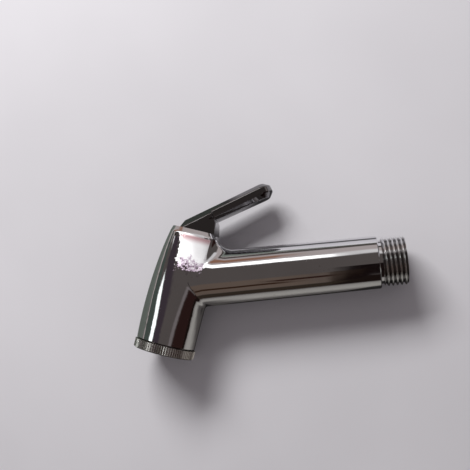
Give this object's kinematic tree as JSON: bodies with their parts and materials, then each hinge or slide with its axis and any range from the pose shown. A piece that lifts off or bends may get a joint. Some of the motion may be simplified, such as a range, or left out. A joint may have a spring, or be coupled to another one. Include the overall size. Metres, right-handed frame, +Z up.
{
  "type": "handheld bidet shower handset",
  "caption": "Chrome hand-held bidet shower handset with a trigger lever on top of an angled head, a knurled spray ring and a threaded inlet.",
  "frame": {"origin": "centre of the inlet's end face, on the handle's axis", "axes": "+X along the handle and out of the inlet, +Y towards the lever, +Z up from the surface it lies on, Z = 0 the plane of symmetry"},
  "size_m": [0.12, 0.0737, 0.0266],
  "materials": {
    "chrome_body": "polished chrome plating",
    "chrome_lever": "polished chrome plating",
    "chrome_ring": "chrome plating over a fine knurl",
    "pin_steel": "ground",
    "spring_steel": "drawn stainless wire",
    "spray_steel": "fine brushed",
    "brass": "turned",
    "rubber": "moulded",
    "white_plastic": "moulded"
  },
  "bodies": {
    "handset": {"body": "chrome_body", "lever_pin": "pin_steel", "gland_nut": "brass", "gland_ring": "rubber", "ring_retainer": "brass", "stem_ring": "rubber", "valve_cage": "brass", "valve_washer": "rubber", "return_spring": "spring_steel", "face_gasket": "rubber", "flow_limiter": "white_plastic", "limiter_washer": "rubber", "inlet_screen": "white_plastic"},
    "trigger": {"lever": "chrome_lever"},
    "plunger": {"valve_stem": "brass", "seal_disc": "rubber", "disc_retainer": "brass", "disc_nut": "brass"},
    "spray_face": {"spray_plate": "spray_steel", "flow_spreader": "white_plastic"},
    "screw_ring": {"face_ring": "chrome_ring"}
  },
  "joints": [
    {"name": "lever_press", "type": "hinge", "parent": "handset", "child": "trigger", "pos_m": [-0.09531, 0.01984, 0], "axis": [0, 0, -1], "range_deg": [0, 13], "stiffness_Nm_per_rad": 0.075, "springref_deg": -14.32},
    {"name": "stem_slide", "type": "slide", "parent": "handset", "child": "plunger", "axis": [-0.3272, -0.9449, 0], "range_m": [0, 0.00175], "deforming": ["return_spring"]},
    {"name": "ring_unscrew", "type": "hinge", "parent": "spray_face", "child": "screw_ring", "pos_m": [-0.106, -0.02599, 0], "axis": [0.3272, 0.9449, 0], "range_deg": [0, 1440]},
    {"name": "ring_travel", "type": "slide", "parent": "handset", "child": "spray_face", "axis": [-0.3272, -0.9449, 0], "range_m": [0, 0.004]}
  ],
  "couplings": [
    {"joint": "stem_slide", "follows": "lever_press", "m_per_rad": 0.0077129},
    {"joint": "ring_travel", "follows": "ring_unscrew", "m_per_rad": 0.00015915}
  ]
}
